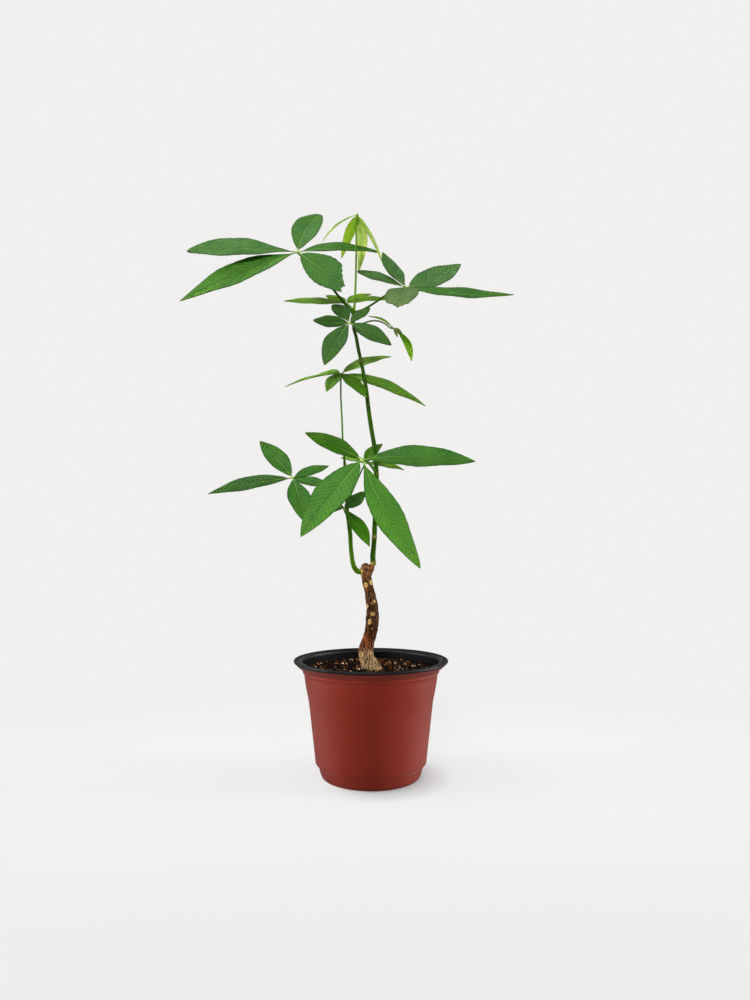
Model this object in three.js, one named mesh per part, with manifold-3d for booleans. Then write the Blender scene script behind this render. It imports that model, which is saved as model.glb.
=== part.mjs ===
// A young money tree in a round nursery pot. Millimetres, +Z up, the front towards -Y.
// The origin is the centre of the pot's flat underside.
import * as THREE from 'three';
import { mergeVertices } from 'three/addons/utils/BufferGeometryUtils.js';
import Module from 'manifold-3d';

const wasm = await Module();
wasm.setup();

// Driving dimensions

const GAP = 0.3; // clearance between neighbours that touch on the real plant

const POT = {
  rimRadius: 65,
  rimTop: 97,
  rimEdge: 1.2, // height of the rim's outer edge
  rimRound: 0.6, // how far the rim's top edge is rounded off
  lipSlope: 2, // drop of the rolled lip from the rim's top to the mouth
  mouthRadius: 57.3,
  wall: 1.2,
  floor: 1.4,
  discRadius: 24, // flat disc that the pot stands on
  channelHeight: 3, // how high the drain channel round the disc is raised
  channelSlope: 2, // width of the slope from the disc up into the channel
  footWidth: 4, // from the channel to the foot's outer face
  footSlope: 1.6,
  drainHoles: 6,
  drainRadius: 3,
  sides: 28,
};

// Outer face of the pot, as [radius, height]: foot, step, conical wall, upper ring, flare and rim.
const POT_FOOT = [[40.2, 0], [42.4, 1.2], [43.4, 4], [44.4, 10.2], [46.3, 12.6], [46.8, 16]];
const POT_WALL = [[52.2, 62.5], [54.9, 76], [56.2, 85.6], [57.4, 87.2], [57.4, 88.4], [58.6, 89.6]];
const POT_FLARE = [[61.6, 92], [64.6, 95.2]];

const SOIL = {
  top: 87.2, // height at the pot's wall
  crown: 1.8, // how much higher the middle is
  lump: 0.8,
  lumpPitch: [0.5, 0.9], // how fast the large and the small lumps follow one another
  sides: 28,
  rings: 7,
};

// Centre lines of the woody trunk and the two green shoots, with the radius at each point.
const TRUNK = [
  [5.5, 0, 48, 7.5], [4.5, 0, 62, 7.8], [3.2, 0, 78, 8.6], [2.2, 0, 85, 8.9], [-0.6, 0, 91, 7.4],
  [-3.2, 0, 97, 6.2], [-4.6, 0, 103, 6.1], [-3.6, 0, 108, 5.9], [-1.6, 0, 114, 5.3],
  [0.3, 0, 121, 5.4], [1.0, 0, 128, 5.6], [1.3, 0, 134, 5.3], [1.0, 0, 141, 5.1],
  [0.0, 0, 147, 4.7], [-1.4, 0, 154, 4.2], [-2.9, 0, 161, 4.1], [-4.2, 0, 168, 4.1],
  [-5.2, 0, 173.5, 3.6], [-5.6, 0, 176.4, 2.2], [-5.6, 0, 177.3, 0.8],
];
const FORK = [[-3.2, 0, 162, 2.4], [-1.4, 0, 168, 2.3], [0.4, 0, 173, 2.2], [1.7, 0, 178, 2.4]];
const SHOOT_MAIN = [
  [2, 0, 176, 2.4], [1.6, 0, 183, 2.3], [2.3, 0, 192, 2.1], [2.8, 0, 199, 2.15], [3.3, 0, 214, 2.05],
  [4.2, 0, 238, 2], [4.6, 0, 252, 2.15], [4.2, 0, 262, 1.95], [3.1, 0.4, 276, 1.9], [0.6, 0.8, 291, 1.85],
  [-1.8, 1.2, 307, 1.85], [-4.3, 1.4, 328, 1.7], [-6.4, 1.6, 340, 1.6], [-8.5, 1.8, 351, 1.55],
  [-11, 2, 362, 1.5], [-13, 2, 373, 1.45], [-14.8, 2, 380, 1.5], [-15.5, 2, 388, 1.35],
  [-15.4, 2, 394, 1.7], [-15.1, 2, 397.4, 1.3],
];
const SHOOT_SIDE = [
  [-4, -2, 169.5, 2.3], [-8, -2.6, 168.8, 2.2], [-11.4, -3, 169.6, 2], [-14.2, -3, 173.2, 1.8],
  [-15.7, -3, 178, 1.65], [-16.7, -3, 185, 1.5], [-17.4, -3, 192, 1.45], [-17.8, -3, 203, 1.45],
  [-18.9, -2.6, 211, 1.4], [-20.3, -2, 222, 1.5], [-20.4, -1.6, 230, 1.3], [-21.4, -0.8, 246, 1.1],
  [-22.4, 0, 260, 1.15], [-22.6, 0, 263.4, 0.9],
];

// Leaflets are thin blades: thickness, and the narrowest half width at the root and at the tip.
const BLADE = { thick: 0.7, rootHalf: 0.45, tipHalf: 0.3 };

// Compound leaves. petiole: centre line from the shoot to the hub, as [x, y, z]. Each leaflet gives
// its tip measured from the hub, its width, its roll about the midrib in degrees and the rise of the
// midrib's middle (arch). Where they differ from the usual it also gives the midrib's sideways bow
// (sway), the share of the length at which it is widest, how drawn out its root and its end are, how
// much wider its left half is (lean) and, where it is torn, the cut end of its outline.
const USUAL = { sway: 0, widest: 0.5, root: 1.1, end: 0.8, lean: 0, torn: null };
const LEAVES = {
  leaf_top_left: {
    colour: 0x3f8a35,
    girth: [1.15, 0.95],
    petiole: [[-15.4, 2, 394], [-24.6, 3, 404.5], [-33.5, 2, 415.5], [-48, -1, 431], [-63, -8, 444]],
    leaflets: [
      { to: [-92, -12, -4], wide: 29, roll: 50, arch: 3, widest: 0.58, end: 0.6 },
      { to: [-95, -20, -49], wide: 30, roll: 50, arch: 5, sway: -3, end: 1 },
      { to: [16, 44, 52], wide: 24, roll: -22, arch: 3, sway: -3, end: 0.6 },
      { to: [71, 30, 11], wide: 18, roll: -42, arch: 4, widest: 0.45, root: 1.8, end: 0.6 },
      { to: [50, -14, -40], wide: 28, roll: -70, arch: -0.5, torn: [0.6, 0.7, 0.82, 0.8, 0.85] },
    ],
  },
  leaf_top: {
    colour: 0x8fb63c,
    girth: [0.95, 0.75],
    petiole: [
      [-15.2, 2, 395.5], [-14.4, 2, 401], [-13.7, 2, 413], [-12.9, 2, 449], [-12.8, 2, 478],
      [-12, 2.4, 481.5],
    ],
    leaflets: [
      { to: [-31, 12, -19], wide: 7, roll: 25, arch: 3.5, sway: 1 },
      { to: [-15, 26, -29], wide: 10, roll: 4, arch: 1, widest: 0.4 },
      { to: [0, 30, -41], wide: 12, roll: -30, arch: 6.5, widest: 0.35 },
      { to: [23, 2, -45], wide: 7, roll: 8, arch: 2, sway: -1, widest: 0.4 },
    ],
  },
  leaf_top_right: {
    colour: 0x47863c,
    girth: [1.0, 0.8],
    petiole: [[-15.2, 2, 394.5], [-8, 3, 397], [-2.2, 3, 400], [7, 0, 405], [14, -4, 408.5], [30, -12, 412]],
    leaflets: [
      { to: [-20, 20, 38], wide: 17, roll: 15, arch: -2, root: 1.6 },
      { to: [-42, 22, 22], wide: 16, roll: 34, arch: 0.5, sway: -1, widest: 0.6, end: 0.6 },
      { to: [49, 22, 28], wide: 25, roll: -47, arch: -3 },
      { to: [90, -8, -9], wide: 26, roll: -35, arch: -2, sway: 4, end: 1.1 },
      {
        to: [-11, -38, -34], wide: 28, roll: 3, arch: 4, sway: -2, end: 0.6,
        torn: [0.82, 0.84, 0.86, 0.8, 0.78],
      },
    ],
  },
  leaf_middle: {
    colour: 0x2f6a33,
    girth: [1.0, 0.8],
    petiole: [[-14.9, 2, 382.5], [-16.6, -7, 383], [-18, -16, 380]],
    leaflets: [
      { to: [-15, 20, 22], wide: 15, roll: 24, arch: 2, root: 1.8, end: 0.6 },
      { to: [-31, 2, 3], wide: 15, roll: 55, arch: 0, sway: -1 },
      { to: [-20, -18, -40], wide: 19, roll: 34, arch: 4, widest: 0.55 },
      { to: [35, -8, -21], wide: 17, roll: -53, arch: 1 },
      { to: [17, 13, 17], wide: 12, roll: -28, arch: 0 },
    ],
  },
  leaf_behind: {
    colour: 0x7a9e22,
    girth: [0.85, 0.7],
    petiole: [[-15.2, 2, 396], [-17.5, 8, 401], [-22, 16, 407]],
    leaflets: [
      { to: [-56, 6, 4], wide: 15, roll: 38, arch: 1, sway: -2, root: 1.6 },
      { to: [-19, 24, 15], wide: 13, roll: 20, arch: 0, end: 0.6 },
      { to: [22, 24, 16], wide: 14, roll: -18, arch: 2, sway: 2, widest: 0.4 },
      { to: [43, -2, 2], wide: 13, roll: -35, arch: 2, widest: 0.4 },
    ],
  },
  leaf_wilting: {
    colour: 0x5c8f00,
    girth: [0.75, 0.6],
    petiole: [
      [-14.5, 2, 379.5], [-9.6, 4, 384], [-4.5, 6, 387], [1.5, 6, 388.4], [7, 6, 388], [12.5, 6, 385.5],
      [17, 6, 382], [19, 6, 382],
    ],
    leaflets: [
      { to: [-21, -4, 9], wide: 2.5, roll: 60, arch: 3.5 },
      { to: [8, -2, -6], wide: 4, roll: -47, arch: 1 },
      { to: [16, -4, -30], wide: 7, roll: -55, arch: 3, sway: -3, widest: 0.6 },
      { to: [4, -3, -9], wide: 2.5, roll: -40, arch: 1, widest: 0.6 },
    ],
  },
  leaf_side_top: {
    colour: 0x4a9030,
    girth: [0.9, 0.65],
    petiole: [
      [-22.5, 0, 261], [-23.2, 0.4, 270], [-24.3, 0.8, 283], [-25, 1.2, 300], [-26.1, 1.8, 322],
      [-26, 2, 341],
    ],
    leaflets: [
      { to: [44, 30, 22], wide: 14, roll: -28, arch: 3, widest: 0.45 },
      { to: [-49, 4, -11], wide: 13, roll: 18, arch: 2.5 },
      { to: [-11, -22, -20], wide: 12, roll: 12, arch: 2 },
      { to: [75, 30, -23], wide: 19, roll: -44, arch: 4, end: 1 },
      { to: [22, -22, -25], wide: 15, roll: -15, arch: 2, sway: 1 },
      { to: [-21, 22, 4], wide: 12, roll: 30, arch: 1 },
    ],
  },
  leaf_front: {
    colour: 0x3f8c2e,
    girth: [1.2, 1.0],
    petiole: [[4.6, 0, 252], [2.5, -10, 256.5], [-2.5, -22, 261.5], [-7, -30, 263]],
    leaflets: [
      { to: [-48, 14, 24], wide: 18, roll: 43, arch: 1 },
      { to: [93, 6, -1], wide: 28, roll: -44, arch: 4, lean: 0.1 },
      { to: [-46, -40, -63], wide: 28, roll: 34, arch: 5, sway: -1 },
      { to: [45, -36, -87], wide: 27, roll: -25, arch: 1, sway: 5, root: 1.6 },
    ],
  },
  leaf_inner: {
    colour: 0x4a8c28,
    girth: [0.8, 0.65],
    petiole: [[-20.4, -1.8, 227], [-16.5, 3, 238], [-11.5, 7, 250], [-7, 10, 260], [-5, 12, 264]],
    leaflets: [
      { to: [34, 8, -5], wide: 15, roll: -29, arch: 2, sway: 1, root: 1.5, end: 1 },
      { to: [15, 16, 19], wide: 12, roll: -19, arch: 3, widest: 0.4 },
      { to: [-22, 12, 6], wide: 11, roll: 29, arch: 2 },
    ],
  },
  leaf_left: {
    colour: 0x3f7a33,
    girth: [1.0, 0.8],
    petiole: [[-20.1, -2, 221], [-32, 4, 233], [-50, 9.5, 246], [-68, 8, 251]],
    leaflets: [
      { to: [-31, 16, 34], wide: 19, roll: 36, arch: 0, sway: 1 },
      { to: [-72, -4, -14], wide: 19, roll: 40, arch: 3, sway: -1.5, end: 1 },
      { to: [30, 18, 12], wide: 13, roll: -34, arch: 0.5 },
      { to: [32, -6, -6], wide: 13, roll: -38, arch: -1, root: 0.8 },
      { to: [12, -22, -38], wide: 20, roll: -7, arch: 2, root: 1.3 },
    ],
  },
  leaf_low: {
    colour: 0x2f7010,
    girth: [0.85, 0.7],
    petiole: [[-19.6, -2.4, 216.5], [-21.6, -6.5, 220.5], [-23, -10, 224]],
    leaflets: [
      { to: [18, 6, 14], wide: 14, roll: -40, arch: -2, end: 0.6 },
      { to: [22, -14, -32], wide: 15, roll: -22, arch: 2, widest: 0.55, end: 1 },
      { to: [-20, -8, -5], wide: 12, roll: 32, arch: 2 },
    ],
  },
};

// Solids

// Drops everything but the positions, so that shared corners merge, and makes a solid.
function solidOf(geometry) {
  const bare = geometry.clone();
  for (const name of Object.keys(bare.attributes)) {
    if (name !== 'position') bare.deleteAttribute(name);
  }
  const merged = mergeVertices(bare, 1e-4);
  const mesh = new wasm.Mesh({
    numProp: 3,
    vertProperties: new Float32Array(merged.attributes.position.array),
    triVerts: new Uint32Array(merged.index.array),
  });
  return new wasm.Manifold(mesh);
}

// What is left of a solid once room is cut from it, without the slivers that a cut can leave.
function cutClear(solid, room) {
  const pieces = solid.subtract(room).decompose();
  return pieces.reduce((best, piece) => (piece.volume() > best.volume() ? piece : best));
}

function geometryOf(solid) {
  const mesh = solid.getMesh();
  const geometry = new THREE.BufferGeometry();
  geometry.setAttribute('position', new THREE.BufferAttribute(new Float32Array(mesh.vertProperties), 3));
  geometry.setIndex(new THREE.BufferAttribute(new Uint32Array(mesh.triVerts), 1));
  geometry.computeVertexNormals();
  return geometry;
}

function named(name, solid, colour, roughness) {
  const material = new THREE.MeshStandardMaterial({ color: colour, roughness, metalness: 0 });
  const mesh = new THREE.Mesh(geometryOf(solid), material);
  mesh.name = name;
  return mesh;
}

// A round limb along a smooth line through rows of [x, y, z, radius], made by bending a cylinder.
// swell(along, angle) scales the radius, and grow is added to it.
function limb(rows, sides, steps, grow = 0, swell = () => 1) {
  const line = new THREE.CatmullRomCurve3(rows.map(([x, y, z]) => new THREE.Vector3(x, y, z)));
  const frames = line.computeFrenetFrames(steps, false);
  const geometry = new THREE.CylinderGeometry(1, 1, 1, sides, steps);
  const place = geometry.attributes.position;
  for (let i = 0; i < place.count; i += 1) {
    const step = Math.round((place.getY(i) + 0.5) * steps);
    const along = step / steps;
    const t = line.getUtoTmapping(along);
    const row = t * (rows.length - 1);
    const low = Math.min(Math.floor(row), rows.length - 2);
    const radius = THREE.MathUtils.lerp(rows[low][3], rows[low + 1][3], row - low) + grow;
    const across = place.getX(i);
    const deep = place.getZ(i);
    const wide = radius * swell(along, Math.atan2(deep, across));
    const point = line.getPoint(t);
    point.addScaledVector(frames.normals[step], across * wide);
    point.addScaledVector(frames.binormals[step], -deep * wide);
    place.setXYZ(i, point.x, point.y, point.z);
  }
  return solidOf(geometry);
}

// The share of its full width that a blade has at this share of its length. A higher root or end
// draws that end out more.
function outline(along, widest, root, end) {
  const arc = Math.sin(Math.PI * along ** (Math.log(0.5) / Math.log(widest)));
  return Math.max(arc, 0) ** THREE.MathUtils.lerp(root, end, along);
}

// One leaflet from the origin: a thin blade along an arched midrib, with raised halves and waved
// edges. Both faces are split into triangles alike.
function leaflet(shape, turn) {
  const { to, wide, roll, arch, sway, widest, root, end, lean, torn } = { ...USUAL, ...shape };
  const tip = new THREE.Vector3(...to);
  const length = tip.length();
  const ahead = tip.clone().normalize();
  const level = new THREE.Vector3(0, 0, 1);
  const side = new THREE.Vector3().crossVectors(ahead, level).normalize();
  side.applyAxisAngle(ahead, -THREE.MathUtils.degToRad(roll));
  const upper = new THREE.Vector3().crossVectors(side, ahead);
  const columns = torn ? [-1, -0.5, 0, 0.5, 1] : [-1, 0, 1];
  const steps = length > 60 ? 8 : 6;
  const points = [];
  const faces = [];
  for (let step = 0; step <= steps; step += 1) {
    columns.forEach((column, at) => {
      const along = (step / steps) * (torn ? torn[at] : 1);
      const least = THREE.MathUtils.lerp(BLADE.rootHalf, BLADE.tipHalf, along);
      const full = (wide / 2) * outline(along, widest, root, end);
      const half = Math.max(full, least) * (1 + lean * column);
      const hump = 4 * along * (1 - along);
      const wave = 0.05 * half * Math.sin(along * 17 + turn + column);
      const lift = arch * hump + Math.abs(column) * (0.16 * half + wave);
      const point = ahead.clone().multiplyScalar(along * length);
      point.addScaledVector(side, column * half + sway * hump);
      point.addScaledVector(upper, lift - BLADE.thick / 2);
      points.push(point, point.clone().addScaledVector(upper, BLADE.thick));
    });
  }
  const count = columns.length;
  const corner = (step, at, face) => (step * count + at) * 2 + face;
  const quad = (a, b, c, d) => faces.push(a, b, c, a, c, d);
  for (let step = 0; step < steps; step += 1) {
    for (let at = 0; at < count - 1; at += 1) {
      const next = step + 1;
      quad(corner(step, at, 1), corner(step, at + 1, 1), corner(next, at + 1, 1), corner(next, at, 1));
      faces.push(corner(step, at, 0), corner(next, at + 1, 0), corner(step, at + 1, 0));
      faces.push(corner(step, at, 0), corner(next, at, 0), corner(next, at + 1, 0));
    }
  }
  for (let step = 0; step < steps; step += 1) {
    const next = step + 1;
    const right = count - 1;
    quad(corner(step, 0, 0), corner(step, 0, 1), corner(next, 0, 1), corner(next, 0, 0));
    quad(corner(step, right, 1), corner(step, right, 0), corner(next, right, 0), corner(next, right, 1));
  }
  for (let at = 0; at < count - 1; at += 1) {
    quad(corner(0, at, 0), corner(0, at + 1, 0), corner(0, at + 1, 1), corner(0, at, 1));
    quad(corner(steps, at, 1), corner(steps, at + 1, 1), corner(steps, at + 1, 0), corner(steps, at, 0));
  }
  const geometry = new THREE.BufferGeometry().setFromPoints(points);
  geometry.setIndex(faces);
  return solidOf(geometry);
}

// Leaflets fused round a small hub on the end of their petiole, cut clear of the shoot.
function compoundLeaf({ petiole, girth, leaflets }, shoot) {
  const last = petiole.length - 1;
  const rows = petiole.map((at, i) => [...at, THREE.MathUtils.lerp(girth[0], girth[1], i / last)]);
  const hub = petiole[last];
  const knob = new THREE.IcosahedronGeometry(girth[1] * 1.8, 0);
  let solid = limb(rows, 5, 2 * last).add(solidOf(knob).translate(hub));
  leaflets.forEach((shape, i) => {
    solid = solid.add(leaflet(shape, i * 1.9).translate(hub));
  });
  return cutClear(solid, shoot);
}

// Pot, soil, trunk and shoots

// A solid turned about the Z axis from its outline as [radius, height].
function turned(profile, sides) {
  const shell = new THREE.LatheGeometry(profile.map(([r, z]) => new THREE.Vector2(r, z)), sides);
  return shell.rotateX(Math.PI / 2);
}

function pot() {
  const { rimRadius, rimTop, rimEdge, rimRound, lipSlope, mouthRadius, wall, floor } = POT;
  const { discRadius, channelHeight, channelSlope, footWidth, footSlope } = POT;
  const { drainHoles, drainRadius, sides } = POT;
  const channel = [discRadius + channelSlope, POT_FOOT[0][0] - footWidth];
  const channelTop = channelHeight + floor;
  const underside = [
    [0, 0], [discRadius, 0], [channel[0], channelHeight], [channel[1], channelHeight],
    [channel[1] + footSlope, 0],
  ];
  const rim = [
    [rimRadius, rimTop - rimEdge], [rimRadius, rimTop - rimRound / 2], [rimRadius - rimRound, rimTop],
    [mouthRadius + rimEdge, rimTop - rimRound], [mouthRadius, rimTop - lipSlope],
  ];
  const walls = [...POT_FOOT.slice(3), ...POT_WALL.slice(0, 4)].reverse();
  const inside = walls.map(([r, z]) => [r - wall, z + wall / 3]);
  const bottom = [
    [POT_FOOT[2][0] - wall, channelTop], [discRadius + 1, channelTop], [discRadius - 1, floor], [0, floor],
  ];
  const profile = [...underside, ...POT_FOOT, ...POT_WALL, ...POT_FLARE, ...rim, ...inside, ...bottom];
  let solid = solidOf(turned(profile, sides));
  for (let i = 0; i < drainHoles; i += 1) {
    const hole = new THREE.CylinderGeometry(drainRadius, drainRadius, 2 * channelTop, 12);
    hole.rotateX(Math.PI / 2);
    hole.translate((channel[0] + channel[1]) / 2, 0, channelHeight);
    hole.rotateZ((i / drainHoles) * 2 * Math.PI);
    solid = solid.subtract(solidOf(hole));
  }
  return solid;
}

// Potting mix that fills the pot, crowned and lumpy on top, cut clear of the trunk.
function soil(trunkRoom) {
  const { top, crown, lump, lumpPitch, sides, rings } = SOIL;
  const clear = 1.4 * (POT.wall + GAP / 3);
  const bed = POT.channelHeight + POT.floor + GAP;
  const walls = [...POT_FOOT.slice(3), ...POT_WALL.slice(0, 2)];
  const sidesUp = walls.map(([r, z]) => [r - clear, z + POT.wall / 3]);
  const edge = POT_WALL[2][0] - clear;
  const profile = [[0, bed], [POT_FOOT[2][0] - clear, bed], ...sidesUp];
  for (let ring = 0; ring < rings; ring += 1) {
    const out = 1 - ring / (rings - 1);
    profile.push([edge * out, top + crown * (1 - out * out)]);
  }
  const body = turned(profile, sides);
  const place = body.attributes.position;
  for (let i = 0; i < place.count; i += 1) {
    const x = place.getX(i);
    const y = place.getY(i);
    const z = place.getZ(i);
    if (z > top + 0.01) {
      const large = Math.sin(x * lumpPitch[0] + 1) * Math.cos(y * lumpPitch[0]);
      const small = Math.sin((x - y) * lumpPitch[1]);
      place.setZ(i, z + lump * (large + 0.6 * small));
    }
  }
  return cutClear(solidOf(body), trunkRoom);
}

// Bark: shallow lumps that spiral up the trunk.
const bark = (along, angle) => 1 + 0.05 * Math.sin(3 * angle + 31 * along) + 0.04 * Math.sin(47 * along);

function trunk(grow) {
  const stem = limb(TRUNK, 10, 24, grow, bark);
  return stem.add(limb(FORK, 8, 5, grow));
}

const trunkRoom = trunk(GAP);
const shootMain = limb(SHOOT_MAIN, 7, 34);
const shootMainRoom = limb(SHOOT_MAIN, 7, 34, GAP);
const shootSide = limb(SHOOT_SIDE, 7, 22);
const shootSideRoom = limb(SHOOT_SIDE, 7, 22, GAP);
const shootsRoom = shootMainRoom.add(shootSideRoom);

const plant = new THREE.Group();
plant.add(named('pot', pot(), 0x7f2c24, 0.6));
plant.add(named('soil', soil(trunkRoom), 0x2b1d15, 0.95));
plant.add(named('trunk', trunk(0), 0x5a4028, 0.9));
plant.add(named('stem_main', cutClear(shootMain, trunkRoom), 0x4a861f, 0.55));
plant.add(named('stem_side', cutClear(shootSide, trunkRoom), 0x4f8c24, 0.55));
for (const [name, leaf] of Object.entries(LEAVES)) {
  plant.add(named(name, compoundLeaf(leaf, shootsRoom), leaf.colour, 0.5));
}

export default plant;
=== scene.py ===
# A young money tree in a two-colour nursery pot, dressed for the studio.
# Metres, +Z up, the front towards -Y. Shapes are listed in millimetres and scaled once.
import math
import random
from collections import namedtuple

import bmesh
import bpy
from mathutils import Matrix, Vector, noise


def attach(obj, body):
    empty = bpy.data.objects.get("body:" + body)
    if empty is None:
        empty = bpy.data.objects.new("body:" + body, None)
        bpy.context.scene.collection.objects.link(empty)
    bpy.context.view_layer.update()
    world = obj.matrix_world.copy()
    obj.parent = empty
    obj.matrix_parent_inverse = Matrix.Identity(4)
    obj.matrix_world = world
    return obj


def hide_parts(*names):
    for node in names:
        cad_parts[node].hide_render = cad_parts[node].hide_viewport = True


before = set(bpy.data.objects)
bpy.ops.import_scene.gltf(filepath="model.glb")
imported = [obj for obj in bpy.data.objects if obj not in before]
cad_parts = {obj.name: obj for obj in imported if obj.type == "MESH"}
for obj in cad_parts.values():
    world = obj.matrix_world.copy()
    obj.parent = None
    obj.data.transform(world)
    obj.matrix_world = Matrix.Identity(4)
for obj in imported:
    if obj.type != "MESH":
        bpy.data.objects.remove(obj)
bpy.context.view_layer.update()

MM = 0.001
random.seed(11)

# Camera and studio

STUDIO_WHITE = 0.875  # brightness of the paper behind the plant
PAPER = (1.0, 0.995, 0.985, 1)
PAPER_GAP = 0.2  # between the pot's foot and the paper, so that they don't cross
EYE = (0.0034, -0.640, 0.199)
EYE_TILT = 92.9
LENS = 27.0

# Softboxes: name, place, what they aim at, width, height, watts and, where a grid narrows their beam, its
# angle. The strips light the pot's sides, the front box the leaves, and the cards give the rim its shine.
SOFTBOXES = [
    ("strip_left", (-1.1, -0.05, 0.24), (0, 0, 0.04), 0.3, 0.36, 0.95, 50),
    ("strip_right", (1.1, 0.05, 0.24), (0, 0, 0.04), 0.3, 0.36, 1.3, 50),
    ("softbox_top", (-0.3, -0.15, 1.5), (0, 0, 0.3), 1.0, 1.0, 9.0, 180),
    ("softbox_front", (-0.2, -1.25, 0.85), (0, 0, 0.39), 0.7, 0.7, 1.3, 22),
    ("card_left", (-0.32, 1.0, 0.3), (0, 0, 0.1), 0.4, 0.4, 0.4, 180),
    ("card_right", (0.32, 1.0, 0.3), (0, 0, 0.1), 0.4, 0.4, 0.4, 180),
]

# Pot: rows of [radius, height] from the underside up the outer wall, over the rolled black rim and down the
# inside.

POT_SIDES = 144
POT_FOOT_DISC = 24.0
POT_UNDERSIDE = [(25.9, 3.0), (36.3, 3.0), (37.6, 0.25), (38.8, 0.0)]
POT_OUTSIDE = [
    (40.1, 0.25), (41.1, 1.1), (41.9, 2.7), (42.7, 5.0), (43.3, 7.4), (43.8, 9.4), (44.4, 9.9),
    (44.6, 10.3), (44.35, 10.8), (44.6, 11.2), (45.7, 11.5), (46.3, 12.1), (46.55, 13.4), (46.85, 16.4),
    (48.6, 31.5), (50.4, 47.0), (52.2, 62.5), (53.6, 69.5), (54.9, 76.0), (55.7, 81.5), (56.1, 84.7),
    (56.4, 85.8), (57.0, 86.5), (57.4, 87.1), (57.5, 87.6), (57.45, 88.2), (57.6, 88.9), (58.4, 89.8),
    (59.6, 90.7), (61.5, 92.2), (63.7, 94.4), (64.4, 94.9), (64.8, 95.4),
]
POT_SEAM = 94.4
POT_RIM = [
    (65.0, 95.8), (65.0, 96.4), (64.7, 96.85), (64.1, 97.0), (63.5, 96.8), (63.1, 96.4), (62.4, 96.25),
    (59.4, 96.1), (58.7, 96.35), (58.0, 96.2), (57.5, 95.6), (57.2, 94.4),
]
POT_INSIDE = [
    (56.9, 91.5), (56.3, 88.9), (56.1, 87.6), (55.0, 86.0), (53.7, 76.4), (51.0, 62.9), (45.6, 16.4),
    (45.1, 13.0), (43.2, 10.6), (42.2, 4.4), (25.1, 4.4), (23.1, 1.4),
]
# The plastic is black above the seam, where it looks inwards above the foot, and on the floor inside.
POT_FOOT = 1.2
POT_FLOOR_EDGE = 43.0
POT_FLOOR_TOP = 20.0
DRAIN_HOLES = 6
DRAIN_RADIUS = 3.0
DRAIN_OUT = 31.1

# Potting mix: the bed is a turned body on its floor, its top is cut into rings, and loose chips lie on it.

MIX_SIDES = 96
MIX_EDGE = 55.3
MIX_FLOOR = 4.7
MIX_FOOT = 20.0
MIX_WALL = [(41.5, 0.0), (45.0, 9.0), (50.4, 58.0), (53.0, 72.0), (MIX_EDGE, 81.3)]  # above the floor
MIX_BRIM = 85.0  # the bed's points above this height belong to its top
MIX_RINGS = 12
MIX_RING_STEP = 4.2
MIX_TOP = 88.7
MIX_CROWN = 0.2
BED_DEPTH = 0.9  # of the bed's top under the chips
CHIP_COUNT = 1900
CHIPS_WITHIN = 0.985  # of the bed's radius
CHIP_SIZES = [(2.4, 0.8, 0.5), (1.6, 1.1, 0.6), (3.0, 0.6, 0.4), (1.2, 0.9, 0.7), (2.0, 1.2, 0.4)]
TRUNK_FOOT_X = 1.8
TRUNK_ROOM = 8.6  # no chips lie nearer than this to the middle of the trunk's foot

# Trunk and shoots: centre lines with the radius at each point.

TRUNK = [
    (5.5, 0, 48, 7.5), (4.5, 0, 62, 7.8), (3.2, 0, 78, 8.6), (2.2, 0, 85, 8.9), (-0.6, 0, 91, 7.4),
    (-3.2, 0, 97, 6.2), (-4.6, 0, 103, 6.1), (-3.6, 0, 108, 5.9), (-1.6, 0, 114, 5.3), (0.3, 0, 121, 5.4),
    (1.0, 0, 128, 5.6), (1.3, 0, 134, 5.3), (1.0, 0, 141, 5.1), (0.0, 0, 147, 4.7), (-1.4, 0, 154, 4.2),
    (-3.0, 0, 161, 4.1), (-4.3, 0, 168, 4.3), (-4.7, 0, 173.3, 4.0), (-4.6, 0, 176.4, 3.1),
    (-4.5, 0, 177.7, 1.4),
]
FORK = [(-3.2, 0, 162, 2.4), (-1.4, 0, 168, 2.3), (0.4, 0, 173, 2.2), (1.7, 0, 178, 2.4)]
SIDE_STUB = [(-4.4, -0.6, 170.2, 3.0), (-6.6, -2.2, 171.0, 3.0), (-8.8, -3.0, 171.0, 2.9)]
SHOOT_MAIN = [
    (2, 0, 176, 2.4), (1.6, 0, 183, 2.3), (2.3, 0, 192, 2.1), (2.8, 0, 199, 2.15), (3.3, 0, 214, 2.05),
    (4.2, 0, 238, 2), (4.6, 0, 252, 2.15), (4.2, 0, 262, 1.95), (3.1, 0.4, 276, 1.9), (0.6, 0.8, 291, 1.85),
    (-1.8, 1.2, 307, 1.85), (-4.3, 1.4, 328, 1.7), (-6.4, 1.6, 340, 1.6), (-8.5, 1.8, 351, 1.55),
    (-11, 2, 362, 1.5), (-13, 2, 373, 1.45), (-14.8, 2, 380, 1.5), (-15.5, 2, 388, 1.35),
    (-15.4, 2, 394, 1.7), (-15.1, 2, 397.4, 1.3),
]
SHOOT_SIDE = [
    (-5.5, -1.2, 170.6, 1.6), (-8.8, -3, 170.5, 2.3), (-11.5, -3, 170.9, 2.25), (-13.9, -3, 173.8, 2.1),
    (-15.4, -3, 178, 1.95), (-16.4, -3, 185, 1.9), (-17.1, -3, 192, 1.8), (-17.7, -3, 203, 1.9),
    (-18.8, -2.6, 211, 1.75), (-20.3, -2, 222, 1.6), (-20.4, -1.6, 230, 1.4), (-21.4, -0.8, 246, 1.1),
    (-22.4, 0, 260, 1.15), (-22.6, 0, 263.4, 0.9),
]
SHOOT_RING_PITCH = 0.9
# Old leaf joints on the shoots: height and strength.
MAIN_RINGS = [(178.5, 1.0), (200.2, 1.0), (253.3, 1.0), (313.5, 0.6), (352, 0.4), (381, 0.7)]
SIDE_RINGS = [(184, 0.2), (212, 0.6), (230, 0.8), (261, 0.6)]

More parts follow.
